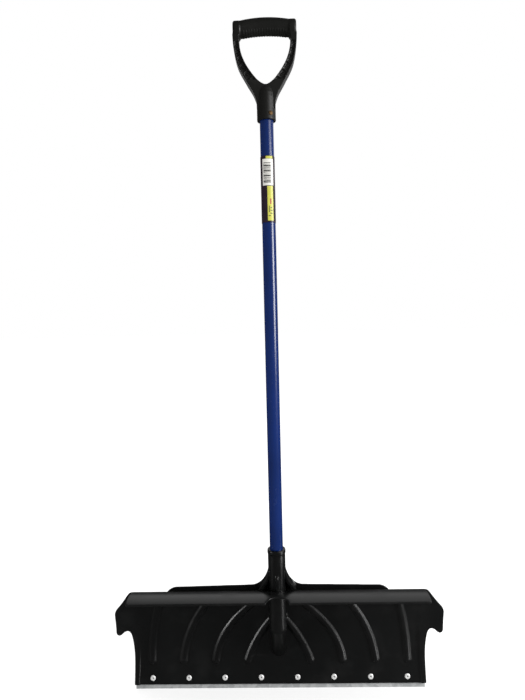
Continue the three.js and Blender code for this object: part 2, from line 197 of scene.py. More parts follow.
def mouldedPlastic(name, look):
    # satin black moulding: fine spark-eroded grain, flow marks, scuffs and a little dust
    f = Finish(name)
    grain = f.noise(look["grain"], 2.0, 0.6)
    flow = f.noise(6.0, 4.0, 0.55, f.stretched((1.0, 1.0, 0.35)))
    scuffField = f.noise(55.0, 5.0, 0.7, f.stretched((0.25, 1.0, 2.6), (0, 0.35, 0)))
    scuffs = f.between(scuffField, 0.63, 0.74)
    dust = f.between(f.noise(17.0, 6.0, 0.65), 0.52, 0.8)
    worn = f.between(f.edgeWear(), 0.52, 0.6)
    tone = f.mixed(f.between(flow, 0.3, 0.7), look["dark"], look["light"])
    tone = f.mixed(dust * look["dust"], tone, (0.08, 0.08, 0.077))
    tone = f.mixed(scuffs * 0.16, tone, (0.03, 0.03, 0.03))
    tone = f.mixed(worn * 0.3, tone, (0.022, 0.022, 0.022))
    rough = look["rough"] + (flow - 0.5) * 0.16 + dust * 0.14 + scuffs * 0.12
    height = grain * 0.5 + scuffField * 0.12
    return f.shade({
        "Base Color": tone,
        "Roughness": rough.clipped(),
        "Specular IOR Level": look["shine"],
        "Normal": f.bump(height, look["depth"], look["strength"]),
    })


def galvanisedSteel(name):
    # zinc spangle, drawn lines, scrapes and grime
    f = Finish(name)
    cell = f.cells(120.0)
    drawn = f.noise(90.0, 4.0, 0.6, f.stretched((0.04, 1.0, 2.0)))
    scrape = f.between(f.noise(60.0, 5.0, 0.7, f.stretched((1.6, 1.0, 0.12), (0, 0.5, 0))), 0.6, 0.72)
    grime = f.between(f.noise(28.0, 5.0, 0.6), 0.48, 0.72)
    tone = f.mixed(cell, (0.36, 0.37, 0.375), (0.5, 0.51, 0.51))
    tone = f.mixed(grime * 0.35, tone, (0.16, 0.155, 0.145))
    tone = f.mixed(scrape * 0.4, tone, (0.62, 0.62, 0.61))
    return f.shade({
        "Base Color": tone,
        "Metallic": 0.45 - grime * 0.2,
        "Roughness": (0.36 + cell * 0.12 + drawn * 0.1 + grime * 0.15).clipped(),
        "Normal": f.bump(drawn + scrape * 0.5, 0.00012, 0.6),
    })


def brightMetal(name, look):
    # small turned or pressed parts, smeared with handling
    f = Finish(name)
    turned = f.noise(600.0, 3.0, 0.6)
    smear = f.between(f.noise(210.0, 4.0, 0.6), 0.4, 0.68)
    tone = f.mixed(smear * look["smear"], look["bright"], look["dull"])
    return f.shade({
        "Base Color": tone,
        "Metallic": look["metal"],
        "Roughness": (look["rough"] + smear * 0.18 + turned * 0.06).clipped(),
        "Normal": f.bump(turned, 0.00005, 0.5),
    })


def blueCoating(name):
    # powder coat over steel: gentle orange peel, faint drawn lines and a few rubbed marks
    f = Finish(name)
    peel = f.noise(420.0, 2.0, 0.5)
    lines = f.noise(300.0, 3.0, 0.6, f.stretched((1.0, 1.0, 0.02)))
    rubbed = f.between(f.noise(70.0, 5.0, 0.7, f.stretched((1.0, 1.0, 0.3))), 0.62, 0.76)
    cloud = f.noise(9.0, 3.0, 0.5)
    tone = f.mixed(f.between(cloud, 0.3, 0.7), (0.001, 0.0105, 0.07), (0.0014, 0.0145, 0.1))
    tone = f.mixed(rubbed * 0.15, tone, (0.008, 0.028, 0.13))
    return f.shade({
        "Base Color": tone,
        "Roughness": (0.22 + rubbed * 0.12 + lines * 0.06).clipped(),
        "Coat Weight": 0.25,
        "Coat Roughness": 0.14,
        "Normal": f.bump(peel * 0.6 + lines * 0.4, 0.00004, 0.12),
    })


def printedFilm(name, low, high, shine):
    # printed film or paper with a mottled tone and a few creases; the creases are also darkened in the
    # colour as painted shade
    f = Finish(name)
    fibre = f.noise(900.0, 3.0, 0.6)
    mottle = f.noise(60.0, 4.0, 0.6)
    creaseAndPaintedShade = f.between(f.noise(26.0, 4.0, 0.65, f.stretched((1.0, 1.0, 0.4))), 0.6, 0.72)
    tone = f.mixed(f.between(mottle, 0.3, 0.7), low, high)
    # painted shade: the colour is darkened along the creases
    tone = f.mixed(creaseAndPaintedShade * 0.25, tone, tuple(0.6 * c for c in low))
    return f.shade({
        "Base Color": tone,
        "Roughness": (shine + mottle * 0.12 + creaseAndPaintedShade * 0.15).clipped(),
        "Normal": f.bump(fibre * 0.5 + creaseAndPaintedShade, 0.00006, 0.6),
    })


finishes = {
    "blade": mouldedPlastic("bladePlastic", {
        "dark": (0.0022, 0.0024, 0.0024), "light": (0.0042, 0.0044, 0.0044), "dust": 0.04,
        "rough": 0.3, "shine": 0.45, "grain": 1100.0, "depth": 0.00012, "strength": 0.55,
    }),
    "grip": mouldedPlastic("gripPlastic", {
        "dark": (0.0035, 0.0036, 0.003), "light": (0.0065, 0.0066, 0.0056), "dust": 0.04,
        "rough": 0.42, "shine": 0.42, "grain": 1500.0, "depth": 0.00012, "strength": 0.6,
    }),
    "strip": galvanisedSteel("galvanisedStrip"),
    "rivet": brightMetal("rivetAluminium", {
        "bright": (0.9, 0.9, 0.89), "dull": (0.6, 0.6, 0.59),
        "rough": 0.36, "smear": 0.4, "metal": 0.5,
    }),
    "pin": brightMetal("mandrelSteel", {
        "bright": (0.32, 0.32, 0.33), "dull": (0.12, 0.12, 0.12),
        "rough": 0.42, "smear": 0.7, "metal": 0.8,
    }),
    "brass": brightMetal("gripScrewBrass", {
        "bright": (0.16, 0.095, 0.04), "dull": (0.07, 0.042, 0.02),
        "rough": 0.5, "smear": 0.7, "metal": 0.8,
    }),
    "zinc": brightMetal("socketScrewZinc", {
        "bright": (0.62, 0.62, 0.63), "dull": (0.3, 0.3, 0.31),
        "rough": 0.32, "smear": 0.6, "metal": 0.7,
    }),
    "tube": blueCoating("tubeBlue"),
    "film": printedFilm("labelDark", (0.012, 0.006, 0.013), (0.02, 0.01, 0.02), 0.3),
    "yellow": printedFilm("labelYellow", (0.36, 0.36, 0.045), (0.43, 0.42, 0.06), 0.32),
    "paper": printedFilm("stickerPaper", (0.5, 0.49, 0.46), (0.58, 0.57, 0.53), 0.5),
    "ink": printedFilm("stickerInk", (0.02, 0.02, 0.022), (0.035, 0.035, 0.036), 0.45),
    "red": printedFilm("labelRed", (0.25, 0.03, 0.02), (0.32, 0.05, 0.03), 0.35),
}
print("finishes made:", len(finishes))


# Mesh helpers. Outlines are in millimetres, and pieceFrom() takes meshes in metres.
def pieceFrom(bm, name, materials, nodes, sharp=38):
    # turns a bmesh in metres into a piece that rides on the shovel and stands for CAD nodes
    bmesh.ops.recalc_face_normals(bm, faces=bm.faces)
    for face in bm.faces:
        face.smooth = True
    limit = math.radians(sharp)
    for edge in bm.edges:
        edge.smooth = len(edge.link_faces) == 2 and edge.calc_face_angle(0) < limit
    mesh = bpy.data.meshes.new(name)
    bm.to_mesh(mesh)
    bm.free()
    piece = bpy.data.objects.new(name, mesh)
    scene.collection.objects.link(piece)
    for material in materials:
        mesh.materials.append(material)
    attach(piece, "root")
    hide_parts(*nodes)


def spun(profile, steps=48):
    # closed profile of (radius, height) pairs turned about Z
    bm = bmesh.new()
    rings = []
    for radius, height in profile:
        if radius < tiny:
            rings.append([bm.verts.new((0, 0, height))])
            continue
        rings.append([
            bm.verts.new((radius * math.cos(a), radius * math.sin(a), height))
            for a in (2 * math.pi * i / steps for i in range(steps))
        ])
    count = len(rings)
    for i in range(count):
        low, high = rings[i], rings[(i + 1) % count]
        for j in range(steps):
            k = (j + 1) % steps
            loop = [low[j % len(low)], low[k % len(low)], high[k % len(high)], high[j % len(high)]]
            corners = list(dict.fromkeys(loop))
            if len(corners) > 2:
                bm.faces.new(corners)
    return bm


def prism(outline, place, low, high):
    # closed outline of (a, b) pairs; place(a, b, c) gives a point
    bm = bmesh.new()
    first = [bm.verts.new(place(a, b, low)) for a, b in outline]
    last = [bm.verts.new(place(a, b, high)) for a, b in outline]
    bm.faces.new(first)
    bm.faces.new(last[::-1])
    for i in range(len(outline)):
        j = (i + 1) % len(outline)
        bm.faces.new((first[i], last[i], last[j], first[j]))
    bmesh.ops.recalc_face_normals(bm, faces=bm.faces)
    return bm


def merged(parts):
    whole = bmesh.new()
    for part in parts:
        mesh = bpy.data.meshes.new("part")
        part.to_mesh(mesh)
        whole.from_mesh(mesh)
        part.free()
        bpy.data.meshes.remove(mesh)
    return whole


def loose(bm, name):
    # a helper object, not a piece of the shovel
    mesh = bpy.data.meshes.new(name)
    bm.to_mesh(mesh)
    bm.free()
    made = bpy.data.objects.new(name, mesh)
    scene.collection.objects.link(made)
    return made


def baked(made):
    # the bmesh that an object's modifiers give; the object is then removed
    bpy.context.view_layer.update()
    graph = bpy.context.evaluated_depsgraph_get()
    mesh = bpy.data.meshes.new_from_object(made.evaluated_get(graph))
    bm = bmesh.new()
    bm.from_mesh(mesh)
    bpy.data.meshes.remove(mesh)
    bpy.data.objects.remove(made, do_unlink=True)
    return bm


def cut(bm, cutter):
    target = loose(bm, "target")
    tool = loose(cutter, "tool")
    boolean = target.modifiers.new("cut", "BOOLEAN")
    boolean.operation = "DIFFERENCE"
    boolean.solver = "EXACT"
    boolean.object = tool
    result = baked(target)
    bpy.data.objects.remove(tool, do_unlink=True)
    return result


def moulded(bm, voxel, smoothing):
    # joins overlapping solids into one skin with softened corners
    target = loose(bm, "skin")
    skin = target.modifiers.new("skin", "REMESH")
    skin.mode = "VOXEL"
    skin.voxel_size = voxel
    soften = target.modifiers.new("soften", "SMOOTH")
    soften.factor = 0.5
    soften.iterations = smoothing
    return baked(target)


# The blade's sheet is two arcs seen from the side: a flat belly and a tight curl over it.
blade = {
    "sheet": 3.4,            # wall
    "curl": (-35.0, 152.0, 77.0),
    "belly": (-249.4, 90.5, 300.0),
    "turn": 16.0,            # degrees where curl and belly meet
    "end": 108.5,            # degrees at the lip
    "bottom": 8.0,
    "half": 294.0,           # half the width low down
    "reach": 332,            # beyond the ears
    "corner": ((292.5, 8.0), (294.0, 9.5)),
    "straight": (14, 62, 5),
    # curves up the side, each with its bend, end and steps: first the hook under the ear
    "hook": (
        ((295, 90), (299, 107), 12), ((302, 116.5), (307.5, 116.5), 10), ((313, 116), (317, 111.5), 7),
        ((322, 106), (326.5, 107.5), 6), ((331, 109), (331, 116), 6),
    ),
    "earStep": (0.1, 6),
    "ear": (331.5, 152),
    # then from the top of the ear to the end of the lip
    "shoulder": (
        ((331.5, 159), (326, 166), 6), ((315.5, 178), (305, 194), 8), ((300, 202), (296, 207.5), 5),
        ((290, 217), (281, 219.8), 8),
    ),
    "lipRound": 5,
    "notch": (22.0, -64.0),  # radius and depth of the arch in the lip
    "softEdge": 0.7,
    "beadRadius": 8.5,
    "beadDepth": 4.0,        # centre of the bead below the sheet's face
    "beadFoot": 45.0,
    # distance from the middle, lean, bow and height of the top of each pair of beads
    "beads": (
        (66, 0.3, 0.0025, 150), (129, 0.05, 0.004, 192), (195, 0.05, 0.0025, 192),
        (258, -0.024, 0.0012, 192),
    ),
    "beadFillet": 1.1,
    "beadStop": 12,          # beads end this far from the middle
    "grooveRadius": 5.1,
    "grooveDepth": 0.6,
    "grooveFillet": 0.8,
    "rim": 9.0,
    "rimRise": 2.8,
    "rimLean": 0.035,
    "rimBlend": 3.0,
    "rimFade": (126, 30, 0.22),
    "coarse": 4.8,           # mesh spacing on plain areas
    "fine": 1.6,             # and along the beads
    "beadBand": 11,
    "rimBand": (3.2, 122),
    "clear": 1.3,            # between the outline and the first mesh points inside it
}
turnAngle = math.radians(blade["turn"])
bellyY, bellyZ, bellyR = blade["belly"]
curlY, curlZ, curlR = blade["curl"]
startAngle = math.asin((blade["bottom"] - bellyZ) / bellyR)
turnLength = bellyR * (turnAngle - startAngle)
fullLength = turnLength + curlR * (math.radians(blade["end"]) - turnAngle)


def alongFromHeight(z):
    # distance up the outer face for a height below the apex
    if z <= bellyZ + bellyR * math.sin(turnAngle):
        return bellyR * (math.asin((z - bellyZ) / bellyR) - startAngle)
    return turnLength + curlR * (math.asin(min((z - curlZ) / curlR, 1)) - turnAngle)


def sheetPoint(x, along, inset):
    y, z, radius, angle = bellyY, bellyZ, bellyR, startAngle + along / bellyR
    if along > turnLength:
        y, z, radius, angle = curlY, curlZ, curlR, turnAngle + (along - turnLength) / curlR
    return x, y + (radius - inset) * math.cos(angle), z + (radius - inset) * math.sin(angle)


def mirroredBack(points):
    # the other half of a symmetric outline
    return [(-x, z) for x, z in reversed(points)]


def curve(start, bend, end, steps):
    # points of a quadratic curve after its start
    made = []
    for i in range(1, steps + 1):
        t = i / steps
        made.append(tuple(
            (1 - t) ** 2 * a + 2 * t * (1 - t) * b + t * t * c for a, b, c in zip(start, bend, end)
        ))
    return made


def curves(start, parts):
    # curves that follow one another
    made = []
    for bend, end, steps in parts:
        made += curve(start, bend, end, steps)
        start = end
    return made


def sideOutline():
    # right-hand edge of the blade from the lower corner to the lip, as (x, distance up the sheet)
    half, straight = blade["half"], blade["straight"]
    edge = [*blade["corner"], *((half, z) for z in range(*straight))]
    edge += curves((half, straight[1]), blade["hook"])
    (x, z), (stepX, stepZ) = edge[-1], blade["earStep"]
    edge += [(x + stepX * i, z + stepZ * i) for i in range(1, 6)] + [blade["ear"]]
    edge += curves(blade["ear"], blade["shoulder"])
    points = [(x, alongFromHeight(z)) for x, z in edge]
    # the ends of the lip are straight, with a small round at the front corner
    (x, top), rounding = points[-1], blade["lipRound"]
    points += [(x, s) for s in np.linspace(top, fullLength - rounding, 14)[1:]]
    points += curve((x, fullLength - rounding), (x, fullLength), (x - rounding, fullLength), 5)
    return points


def beadLines():
    # centre lines of the raised beads on the sheet, both sides
    lines = []
    for foot, lean, bow, top in blade["beads"]:
        first = blade["beadFoot"] + blade["beadRadius"]
        line = []
        for i in range(25):
            z = first + (top - first) * i / 24
            t = z - blade["beadFoot"]
            line.append((max(foot - lean * t - bow * t * t, blade["beadStop"]), alongFromHeight(z)))
        lines += [np.array(line), np.array(line) * (-1, 1)]
    return lines


def distanceTo(line, points):
    best = np.full(len(points), farAway)
    for a, b in zip(line[:-1], line[1:]):
        step = b - a
        t = np.clip(((points - a) @ step) / max(step @ step, tiny), 0, 1)
        best = np.minimum(best, np.linalg.norm(points - a - t[:, None] * step, axis=1))
    return best


def softRise(distance, radius, depth, fillet):
    # height of a round bead over the sheet, with a small fillet at its foot
    steepness, reach, sink = 1.6, 5, 0.12
    foot = math.sqrt(radius ** 2 - depth ** 2)
    inside = np.sqrt(np.maximum(radius ** 2 - distance ** 2, 0)) - depth
    height = np.where(distance < foot, inside, -(distance - foot) * steepness)
    rise = 0.5 * (height + np.sqrt(height ** 2 + fillet ** 2))
    return np.where(distance > foot + reach, 0, np.maximum(rise - fillet * sink, 0))


def bladeOutline():
    right = sideOutline()
    half, centre = blade["notch"]
    slot = []
    for a in np.linspace(0, math.pi, 25):
        angle = math.acos((centre + half * math.sin(a) - curlY) / curlR)
        slot.append((half * math.cos(a), min(turnLength + curlR * (angle - turnAngle), fullLength)))
    slot = [p for i, p in enumerate(slot) if p[1] < fullLength - 0.05 or i in (0, len(slot) - 1)]
    lipRight = [(x, fullLength) for x in np.linspace(right[-1][0], half, 50)[1:-1]]
    left = mirroredBack(right)
    foot = [(x, 0.0) for x in np.linspace(left[-1][0], right[0][0], 110)[1:-1]]
    return right + lipRight + slot + mirroredBack(lipRight) + left + foot


def insideOutline(points, outline):
    x, y = points[:, 0], points[:, 1]
    within = np.zeros(len(points), bool)
    loop = np.array(outline)
    for a, b in zip(loop, np.roll(loop, -1, axis=0)):
        crosses = (a[1] > y) != (b[1] > y)
        if abs(b[1] - a[1]) > tiny:
            within ^= crosses & (x < (b[0] - a[0]) * (y - a[1]) / (b[1] - a[1]) + a[0])
    return within & (distanceTo(np.concatenate((loop, loop[:1])), points) > blade["clear"])


def sheetGrid(outline, lines):
    # mesh points of the flat sheet: its outline, a coarse grid, and a fine one at beads and rims
    fine, ratio = blade["fine"], round(blade["coarse"] / blade["fine"])
    columns = np.arange(-blade["reach"], blade["reach"], fine)
    rows = np.arange(1.0, fullLength, fine)
    gridX, gridS = np.meshgrid(columns, rows)
    gridX = gridX + (np.arange(len(rows)) % 2)[:, None] * fine * 0.5
    points = np.stack((gridX.ravel(), gridS.ravel()), 1)
    near = np.full(len(points), farAway)
    for line in lines:
        near = np.minimum(near, distanceTo(line, points))
    plainX = np.arange(len(columns)) % ratio == 0
    plainS = np.arange(len(rows)) % ratio == 0
    plain = (plainS[:, None] & plainX[None, :]).ravel()
    width, top = blade["rimBand"]
    rim = np.abs(np.abs(points[:, 0]) - (blade["half"] - blade["rim"])) < width
    keep = plain | (near < blade["beadBand"]) | (rim & (points[:, 1] < top))
    return np.concatenate((np.array(outline), points[keep & insideOutline(points, outline)]))


def sheetRises(at, lines):
    # how far the hollow face and the back face stand off the plain sheet
    front = np.zeros(len(at))
    back = np.zeros(len(at))
    for line in lines:
        d = distanceTo(line, at)
        bead = softRise(d, blade["beadRadius"], blade["beadDepth"], blade["beadFillet"])
        groove = softRise(d, blade["grooveRadius"], blade["grooveDepth"], blade["grooveFillet"])
        front = np.maximum(front, bead)
        back = np.maximum(back, groove)
    creaseAndPaintedShade = blade["half"] - blade["rim"] - blade["rimLean"] * at[:, 1]
    step = np.clip((np.abs(at[:, 0]) - creaseAndPaintedShade) / blade["rimBlend"] + 0.5, 0, 1)
    top, length, least = blade["rimFade"]
    fade = np.clip((top - at[:, 1]) / length, least, 1)
    front += blade["rimRise"] * fade * step * step * (3 - 2 * step)
    return front, back


def makeSheet():
    outline = bladeOutline()
    lines = beadLines()
    points = sheetGrid(outline, lines)
    loop = len(outline)
    border = [(i, (i + 1) % loop) for i in range(loop)]
    flat = geometry.delaunay_2d_cdt([Vector(p) for p in points.tolist()], border, [], 1, 1e-5)
    verts, faces = flat[0], flat[2]
    at = np.array([(v.x, v.y) for v in verts])
    front, back = sheetRises(at, lines)
    bm = bmesh.new()
    tops, unders = (
        [bm.verts.new(toFrame(*sheetPoint(x, s, inset))) for (x, s), inset in zip(at.tolist(), insets)]
        for insets in (blade["sheet"] + front, back)
    )
    used = {}
    for face in faces:
        bm.faces.new([tops[i] for i in face])
        bm.faces.new([unders[i] for i in reversed(face)])
        used.update(dict.fromkeys(zip(face, [*face[1:], face[0]])))
    sides = set()
    for i, j in used:
        if (j, i) not in used:
            sides.add(bm.faces.new((tops[j], tops[i], unders[i], unders[j])))
    strays = [v for v in bm.verts if not v.link_faces]
    bmesh.ops.delete(bm, geom=strays, context="VERTS")
    corners = [e for e in bm.edges if sum(f in sides for f in e.link_faces) == 1]
    bmesh.ops.bevel(
        bm, geom=corners, offset=blade["softEdge"] * milli, segments=2, profile=0.5,
        affect="EDGES", clamp_overlap=True,
    )
    pieceFrom(bm, "bladeSheet", [finishes["blade"]], ["blade"], 50)


makeSheet()
print("blade sheet made")


# The socket, the half-round spine under it and the rear wing are moulded with the sheet.
core = {
    "radius": 16.8,
    "top": 303.5,
    "foot": 205,
    "bend": 150.0,           # where the spine starts to slope back
    "slope": 36.5,
    "spineTop": 240,
    "spineLength": 150,
    "fillTop": 222,
    "pocket": (196, 134, 140),     # its top, its foot and its reach down the slope
    "rim": ((0, 8.4), (0.7, 7.4), (0.7, 1), (0.1, 0)),   # out from the socket, down from its top
    "bore": 13.2,
    "boreFloor": 165.0,
    "wingHalf": 216.0,
    "wing": (10.4, 13.6),    # front and back face
    "wingFoot": 200,
    "wingTop": 225.2,
    "wingTaper": 16.0,
    "flareTop": 262.0,
    "flareHalf": 48.0,
    "sideRib": ((13, 262), (16.5, 262), (22, 243), (36, 226), (31, 222), (18, 240)),
    "sideRibFront": -9,
    "middleRib": ((-20.5, 223), (-10, 223), (-10, 257), (-17, 257), (-20.5, 251)),
    "middleRibHalf": 2.4,
    "spineOverlap": 1.4,     # how far the spine goes into the sheet, to be one body with it
    "wingOverlap": 1.6,
    "voxel": 1.0,
    "steps": 64,
}
slopeAngle = math.radians(core["slope"])


def acrossX(a, b, c):
    return c, a, b   # an outline in depth and height, drawn out along X


def acrossY(a, b, c):
    return a, c, b   # an outline in width and height, drawn out along Y


def sheetSide(inset, ahead):
    # everything in front of, or behind, a surface inside the sheet's wall
    face = [sheetPoint(0, s, inset)[1:] for s in np.linspace(-25, fullLength + 60, 70)]
    if ahead:
        return prism(face + [(-170, 60), (-170, -60)], acrossX, -400, 400)
    back = [p for p in face if p[0] > curlY]
    return prism(back + [(back[-1][0], 420), (220, 420), (220, -60)], acrossX, -400, 400)


def slopingBar(radius, start, length, steps=48):
    bm = spun([(0, -start - length), (radius, -start - length), (radius, -start), (0, -start)], steps)
    bmesh.ops.rotate(bm, verts=bm.verts, matrix=Matrix.Rotation(slopeAngle, 3, "X"))
    bmesh.ops.translate(bm, verts=bm.verts, vec=(0, 0, core["bend"]))
    return bm


def roundBall(centre, radius):
    bm = bmesh.new()
    bmesh.ops.create_uvsphere(bm, u_segments=48, v_segments=24, radius=radius)
    bmesh.ops.translate(bm, verts=bm.verts, vec=centre)
    return bm


def onSlope(t):
    return t * math.sin(slopeAngle), core["bend"] - t * math.cos(slopeAngle)


def coreCutters():
    # the pocket that cores out the back of the spine
    radius, (top, foot, reach) = core["radius"], core["pocket"]
    inner, end = radius - blade["sheet"], onSlope(reach)
    pocket = [(radius, top), (radius, foot), end, (end[0], top)]
    return [slopingBar(inner, 6, core["spineLength"]), prism(pocket, acrossX, -inner, inner)]


def wingOutline():
    half, top, flare = core["wingHalf"], core["wingTop"], core["flareHalf"]
    right = [(half, core["wingFoot"]), (half, top - 10)]
    right += curve((half, top - 10), (half - 6, top - 3), (half - core["wingTaper"], top - 1), 8)
    right += [(flare, top + 2)]
    right += curve((flare, top + 2), (24, top + 6), (core["radius"], core["flareTop"]), 16)
    return right + mirroredBack(right)


def spineParts():
    radius, bend, high, top = (core[k] for k in ("radius", "bend", "spineTop", "fillTop"))
    end = onSlope(core["spineLength"])
    return [
        spun([(0, bend), (radius, bend), (radius, high), (0, high)], core["steps"]),
        slopingBar(radius, 0, core["spineLength"], core["steps"]),
        roundBall((0, 0, bend), radius),
        prism([(0, top), (0, bend), end, (end[0], top)], acrossX, -radius, radius),
    ]


def makeSocket():
    radius, top, foot = core["radius"], core["top"], core["foot"]
    parts = [cut(part, sheetSide(core["spineOverlap"], False)) for part in spineParts()]
    front, back = core["wing"]
    overlap = core["wingOverlap"]
    parts.append(cut(prism(wingOutline(), acrossY, front, back), sheetSide(overlap, True)))
    for side in (-1, 1):
        rib = prism([(side * x, z) for x, z in core["sideRib"]], acrossY, core["sideRibFront"], back)
        parts.append(cut(rib, sheetSide(overlap, True)))
    half = core["middleRibHalf"]
    parts.append(prism(core["middleRib"], acrossX, -half, half))
    rim = [(radius + out, top - down) for out, down in core["rim"]]
    parts.append(spun([(0, foot), (radius, foot), *rim, (0, top)], 96))
    bm = moulded(merged(parts), core["voxel"], 3)
    for cutter in coreCutters():
        bm = cut(bm, cutter)
    hole, floor = core["bore"], core["boreFloor"]
    bm = cut(bm, spun([(0, floor), (hole, floor), (hole, top + 5), (0, top + 5)], 96))
    toMetres(bm)
    pieceFrom(bm, "bladeSocket", [finishes["blade"]], ["blade"], 42)


makeSocket()
print("socket, spine and wing made")


# Blind rivets hold the wear strip behind the blade's lower edge.
rivet = {
    "count": 8,
    "pitch": 73.5,
    "height": 21.0,
    "stack": 5.5,            # blade, strip and the gaps beside it
    "head": (
        (1.5, 1.25), (2.1, 1.95), (2.9, 2.02), (3.9, 1.78), (4.8, 1.3), (5.3, 0.8), (5.4, 0.45),
        (5.3, 0.3),
    ),
    "shank": (2.4, 0.3),
    "mouth": (1.4, 0.9),
    # radius and distance behind the stack
    "tail": ((1.4, 2.8), (3.2, 2.8), (3.8, 2.3), (4, 1.6), (3.9, 0.5), (3.6, 0), (2.4, 0)),
    "steps": 40,
    # the mandrel's snapped end, then its head as radius and distance behind the tail
    "snapped": ((0, 0.55), (0.5, 0.7), (0.95, 0.5), (1.1, 0.2)),
    "bulb": ((1.1, 0.3), (2.1, 0.3), (2.3, 0.6), (2.3, 1.4), (1.9, 1.9), (1.1, 2.3), (0, 2.4)),
    "bulbSteps": 24,
}


def rivetPlace(index):
    # a rivet is drawn along Z, with the hollow face of the blade at its zero
    radius = bellyR - blade["sheet"]
    angle = math.asin((rivet["height"] - bellyZ) / radius)
    y, z = bellyY + radius * math.cos(angle), bellyZ + radius * math.sin(angle)
    out = Vector((0, -math.cos(angle), -math.sin(angle)))
    right = Vector((1, 0, 0))
    up = out.cross(right)
    x = (index - (rivet["count"] - 1) / 2) * rivet["pitch"]
    turn = Matrix((right, up, out)).transposed().to_4x4()
    return Matrix.Translation((x, y, z)) @ turn @ Matrix.Rotation(index * 0.7, 4, "Z")


def makeRivets():
    stack = -rivet["stack"]
    tail = stack - rivet["tail"][0][1]
    for index in range(rivet["count"]):
        name = str(index + 1)
        body = spun([
            *((radius, stack - behind) for radius, behind in rivet["tail"]),
            rivet["shank"], *reversed(rivet["head"]), rivet["mouth"],
        ], rivet["steps"])
        bmesh.ops.transform(body, matrix=rivetPlace(index), verts=body.verts)
        toMetres(body)
        pieceFrom(body, "rivetHead" + name, [finishes["rivet"]], ["rivet_" + name])
        bulb = [(radius, tail - behind) for radius, behind in rivet["bulb"]]
        pin = spun([*rivet["snapped"], *bulb], rivet["bulbSteps"])
        for vert in pin.verts:     # the snapped end is ragged
            if vert.co.z > 0.4:
                vert.co.z += 0.22 * math.sin(vert.co.x * 5 + index * 2.3) + 0.15 * math.cos(vert.co.y * 7)
        bmesh.ops.transform(pin, matrix=rivetPlace(index), verts=pin.verts)
        toMetres(pin)
        pieceFrom(pin, "rivetMandrel" + name, [finishes["pin"]], ["rivet_pin_" + name])


makeRivets()
print("rivets made")


# The wear strip follows the belly of the blade.
strip = {"thick": 1.5, "height": 38.0, "half": 292.0, "gap": 0.3, "edge": 0.35}


def makeStrip():
    inner, outer = bellyR + strip["gap"], bellyR + strip["gap"] + strip["thick"]
    outline = []
    for radius, ends in ((outer, (0, strip["height"])), (inner, (strip["height"], 0))):
        first, last = (math.asin((z - bellyZ) / radius) for z in ends)
        for i in range(13):
            angle = first + (last - first) * i / 12
            outline.append((bellyY + radius * math.cos(angle), bellyZ + radius * math.sin(angle)))
    bm = prism(outline, acrossX, -strip["half"], strip["half"])
    corners = [e for e in bm.edges if e.calc_face_angle(0) > 1]
    bmesh.ops.bevel(bm, geom=corners, offset=strip["edge"], segments=3, profile=0.5, affect="EDGES")
    toMetres(bm)
    pieceFrom(bm, "wearStrip", [finishes["strip"]], ["wear_strip"])


makeStrip()
print("wear strip made")


# The handle is a coated steel tube, open at both ends.
tube = {
    "radius": 12.7,
    "wall": 1.2,
    "bottom": 165.3,
    "top": 1149.7,
    "edge": 0.3,
    "rings": (400, 650, 900),
    "steps": 96,
}


def makeTube():
    outer, inner = tube["radius"], tube["radius"] - tube["wall"]
    low, high, edge = tube["bottom"], tube["top"], tube["edge"]
    bm = spun([
        (inner, low), (outer - edge, low), (outer, low + edge), *((outer, z) for z in tube["rings"]),
        (outer, high - edge), (outer - edge, high), (inner, high),
    ], tube["steps"])
    toMetres(bm)
    pieceFrom(bm, "handleTube", [finishes["tube"]], ["handle_tube"])


makeTube()
print("tube made")


# The D-grip: a flat frame with latticed arms, a round crossbar with finger ribs, and a collar.
grip = {
    "outer": ((58.65, 1262), (57, 1238), (50.5, 1209), (36, 1181), (23.3, 1159), (17.3, 1143)),
    "inner": ((44.5, 1272), (46.9, 1256), (43.9, 1231), (35.3, 1209), (20.75, 1187.5), (9.5, 1176.5)),
    "openingBottom": 1172.5,
    "shoulder": (56, 1278),
    "depth": 24.0,
    "wallAlong": 2.6,        # left beside the pockets in the arms
    "recess": 3.4,
    "pocket": (1250, 1181, 24),
    "webs": (1180, 1253, 6.6),
    "webThick": 1.5,
    "webInset": 1.6,
    "webSink": 1.2,
    "barRadius": 15.0,
    "barSwell": 0.25,
    "barHalf": 52,
    "barEnd": 1273.5,
    "barArch": 5.5,
    "barSteps": 72,
    "fingers": 8,            # ribs on each side of the middle one
    "fingerPitch": 4.8,
    "fingerHalf": 0.9,
    "fingerRise": 0.85,
    "fingerArc": (215, 326, 5),
    "cheek": ((0, 44.6), (15.7, 44.6), (16.5, 45.6), (16.5, 54.5), (15.7, 56.6), (13.8, 57.8), (0, 58.3)),
    "collar": 17.3,
    "collarBottom": 1109.0,
    "collarTop": 1150,
    "neckFoot": 1130,
    "neck": ((16.6, 1158), (14.2, 1166), (10.5, 1172), (0, 1173)),
    "bore": 13.15,
    "voxel": 0.75,
}


def splined(points, steps):
    # Catmull-Rom curve through points
    p = [points[0], *points, points[-1]]
    made = []
    for i in range(1, len(p) - 2):
        for j in range(steps):
            t = j / steps
            made.append(tuple(
                0.5 * (2 * b + (c - a) * t + (2 * a - 5 * b + 4 * c - d) * t * t
                       + (3 * b - a - 3 * c + d) * t ** 3)
                for a, b, c, d in zip(p[i - 1], p[i], p[i + 1], p[i + 2])
            ))
    return made + [points[-1]]


def widthAt(points, z):
    # half the width of a falling outline at a height
    widths, heights = zip(*reversed(points))
    return float(np.interp(z, heights, widths))


def plate(corners, thick, low, high):
    # a thin upright web between two points in the plane of the D
    (x1, z1), (x2, z2) = corners
    nx, nz = z2 - z1, x1 - x2
    size = math.hypot(nx, nz) / (thick / 2)
    nx, nz = nx / size, nz / size
    outline = [(x1 + nx, z1 + nz), (x2 + nx, z2 + nz), (x2 - nx, z2 - nz), (x1 - nx, z1 - nz)]
    return prism(outline, acrossY, low, high)


